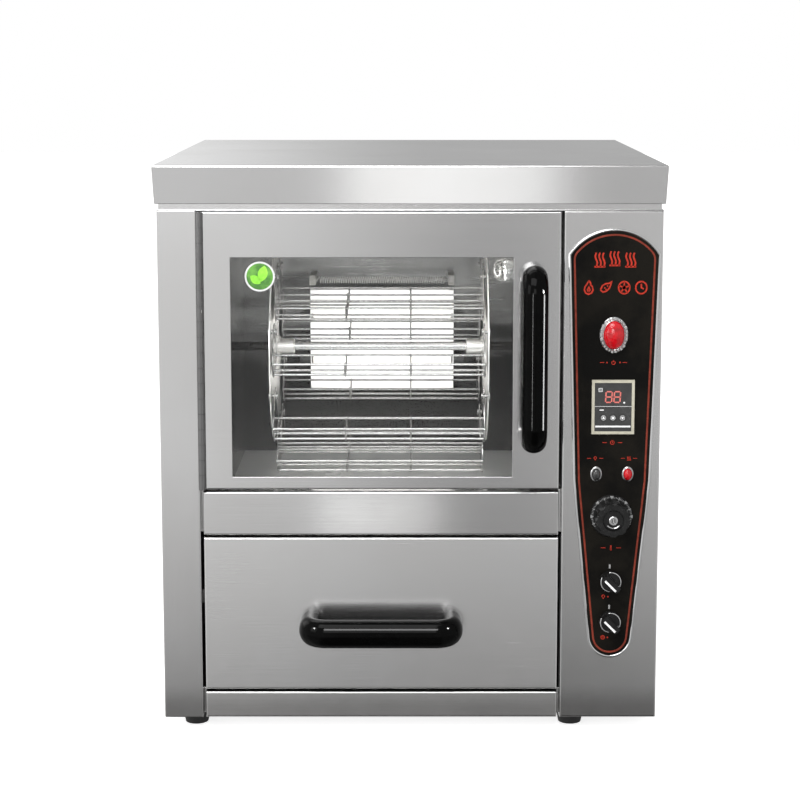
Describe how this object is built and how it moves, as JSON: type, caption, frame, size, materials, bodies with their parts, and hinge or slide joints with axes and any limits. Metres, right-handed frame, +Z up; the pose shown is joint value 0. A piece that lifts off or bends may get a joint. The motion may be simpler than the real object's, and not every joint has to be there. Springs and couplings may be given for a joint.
{
  "type": "rotary sweet potato oven",
  "caption": "Counter-top steel oven with a glazed hinged door, a turning wheel of hanging wire baskets, a warming drawer and a black control plate.",
  "frame": {"origin": "on the plane the feet stand on, in the middle of the whole outline", "axes": "X to the right of someone facing the door, Y from the door to the back, Z up"},
  "size_m": [0.5858, 0.643, 0.6653],
  "materials": {
    "stainless": "satin",
    "inner_steel": "satin",
    "wire_steel": "bright",
    "grey_metal": "matt",
    "zinc_screw": "bright",
    "lagging": "matt",
    "white_ceramic": "matt",
    "quartz": "frosted",
    "heater_wire": "oxidised",
    "window": "clear",
    "black_handle": "gloss",
    "black_knob": "satin",
    "black_plate": "gloss",
    "cream_plastic": "satin",
    "bezel_metal": "bright",
    "lamp_lens": "gloss",
    "rubber": "matt",
    "brass_bearing": "satin",
    "magnet": "matt"
  },
  "bodies": {
    "casing": {"base_pan": "stainless", "left_side_panel": "stainless", "right_side_panel": "stainless", "lid": "stainless", "top_panel": "stainless", "back_panel": "stainless", "mid_rail": "stainless", "bottom_rail": "stainless", "control_column": "stainless", "partition_walls": "inner_steel", "cavity_wrap": "inner_steel", "cavity_side_walls": "inner_steel", "insulation_boards": "lagging", "heater_reflector": "inner_steel", "quartz_heaters": "quartz", "coil_heater": "heater_wire", "coil_holders": "white_ceramic", "shaft_bearings": "brass_bearing", "gearmotor": "grey_metal", "hinge_leaf_fixed": "stainless", "hinge_pin": "stainless", "magnet_catch": "magnet", "drawer_runners": "inner_steel", "control_overlay": "black_plate", "lamp_bezels": "bezel_metal", "lamp_lenses": "lamp_lens", "timer_housing": "cream_plastic", "thermostat_body": "grey_metal", "switch_bodies": "black_knob", "oven_lamp": "white_ceramic", "rubber_feet": "rubber", "cable_gland": "black_knob", "panel_screws": "zinc_screw"},
    "door": {"door_shell": "stainless", "door_inner_pan": "stainless", "window_glass": "window", "glass_gasket": "rubber", "hinge_leaf_door": "stainless", "door_handle": "black_handle"},
    "drawer": {"drawer_front": "stainless", "drawer_tray": "inner_steel", "drawer_handle": "black_handle"},
    "wheel": {"wheel_discs": "inner_steel", "wheel_shaft": "inner_steel", "basket_pins": "inner_steel", "shaft_coupling": "inner_steel"},
    "thermostat_dial": {"thermostat_knob": "black_knob"},
    "upper_switch": {"upper_switch_knob": "black_knob"},
    "lower_switch": {"lower_switch_knob": "black_knob"},
    "button_left": {"timer_button_left": "cream_plastic"},
    "button_middle": {"timer_button_middle": "cream_plastic"},
    "button_right": {"timer_button_right": "cream_plastic"},
    "hanging_basket_1": {"basket_1": "wire_steel"},
    "hanging_basket_2": {"basket_2": "wire_steel"},
    "hanging_basket_3": {"basket_3": "wire_steel"},
    "hanging_basket_4": {"basket_4": "wire_steel"},
    "hanging_basket_5": {"basket_5": "wire_steel"},
    "hanging_basket_6": {"basket_6": "wire_steel"},
    "hanging_basket_7": {"basket_7": "wire_steel"},
    "hanging_basket_8": {"basket_8": "wire_steel"}
  },
  "joints": [
    {"name": "door_swing", "type": "hinge", "parent": "casing", "child": "door", "pos_m": [-0.2401, -0.2757, 0.4511], "axis": [0, 0, -1], "range_deg": [0, 115]},
    {"name": "drawer_slide", "type": "slide", "parent": "casing", "child": "drawer", "axis": [0, -1, 0], "range_m": [0, 0.38]},
    {"name": "wheel_spin", "type": "hinge", "parent": "casing", "child": "wheel", "pos_m": [-0.037, -0.0565, 0.4252], "axis": [1, 0, 0], "continuous": true},
    {"name": "basket_1_swing", "type": "hinge", "parent": "wheel", "child": "hanging_basket_1", "pos_m": [-0.037, -0.15541, 0.45734], "axis": [1, 0, 0], "continuous": true},
    {"name": "basket_2_swing", "type": "hinge", "parent": "wheel", "child": "hanging_basket_2", "pos_m": [-0.037, -0.10372, 0.51786], "axis": [1, 0, 0], "continuous": true},
    {"name": "basket_3_swing", "type": "hinge", "parent": "wheel", "child": "hanging_basket_3", "pos_m": [-0.037, -0.02436, 0.52411], "axis": [1, 0, 0], "continuous": true},
    {"name": "basket_4_swing", "type": "hinge", "parent": "wheel", "child": "hanging_basket_4", "pos_m": [-0.037, 0.03617, 0.47241], "axis": [1, 0, 0], "continuous": true},
    {"name": "basket_5_swing", "type": "hinge", "parent": "wheel", "child": "hanging_basket_5", "pos_m": [-0.037, 0.04241, 0.39306], "axis": [1, 0, 0], "continuous": true},
    {"name": "basket_6_swing", "type": "hinge", "parent": "wheel", "child": "hanging_basket_6", "pos_m": [-0.037, -0.00928, 0.33253], "axis": [1, 0, 0], "continuous": true},
    {"name": "basket_7_swing", "type": "hinge", "parent": "wheel", "child": "hanging_basket_7", "pos_m": [-0.037, -0.08864, 0.32629], "axis": [1, 0, 0], "continuous": true},
    {"name": "basket_8_swing", "type": "hinge", "parent": "wheel", "child": "hanging_basket_8", "pos_m": [-0.037, -0.14916, 0.37798], "axis": [1, 0, 0], "continuous": true},
    {"name": "thermostat_turn", "type": "hinge", "parent": "casing", "child": "thermostat_dial", "pos_m": [0.2333, -0.273, 0.259], "axis": [0, 1, 0], "range_deg": [0, 270]},
    {"name": "upper_switch_turn", "type": "hinge", "parent": "casing", "child": "upper_switch", "pos_m": [0.2333, -0.273, 0.1815], "axis": [0, 1, 0], "range_deg": [0, 90]},
    {"name": "lower_switch_turn", "type": "hinge", "parent": "casing", "child": "lower_switch", "pos_m": [0.2333, -0.273, 0.133], "axis": [0, 1, 0], "range_deg": [0, 90]},
    {"name": "button_left_press", "type": "slide", "parent": "casing", "child": "button_left", "axis": [0, 1, 0], "range_m": [0, 0.001], "stiffness_N_per_m": 800, "springref_m": -0.0006},
    {"name": "button_middle_press", "type": "slide", "parent": "casing", "child": "button_middle", "axis": [0, 1, 0], "range_m": [0, 0.001], "stiffness_N_per_m": 800, "springref_m": -0.0006},
    {"name": "button_right_press", "type": "slide", "parent": "casing", "child": "button_right", "axis": [0, 1, 0], "range_m": [0, 0.001], "stiffness_N_per_m": 800, "springref_m": -0.0006}
  ],
  "couplings": [
    {"joint": "basket_1_swing", "follows": "wheel_spin", "ratio": -1},
    {"joint": "basket_2_swing", "follows": "wheel_spin", "ratio": -1},
    {"joint": "basket_3_swing", "follows": "wheel_spin", "ratio": -1},
    {"joint": "basket_4_swing", "follows": "wheel_spin", "ratio": -1},
    {"joint": "basket_5_swing", "follows": "wheel_spin", "ratio": -1},
    {"joint": "basket_6_swing", "follows": "wheel_spin", "ratio": -1},
    {"joint": "basket_7_swing", "follows": "wheel_spin", "ratio": -1},
    {"joint": "basket_8_swing", "follows": "wheel_spin", "ratio": -1}
  ]
}
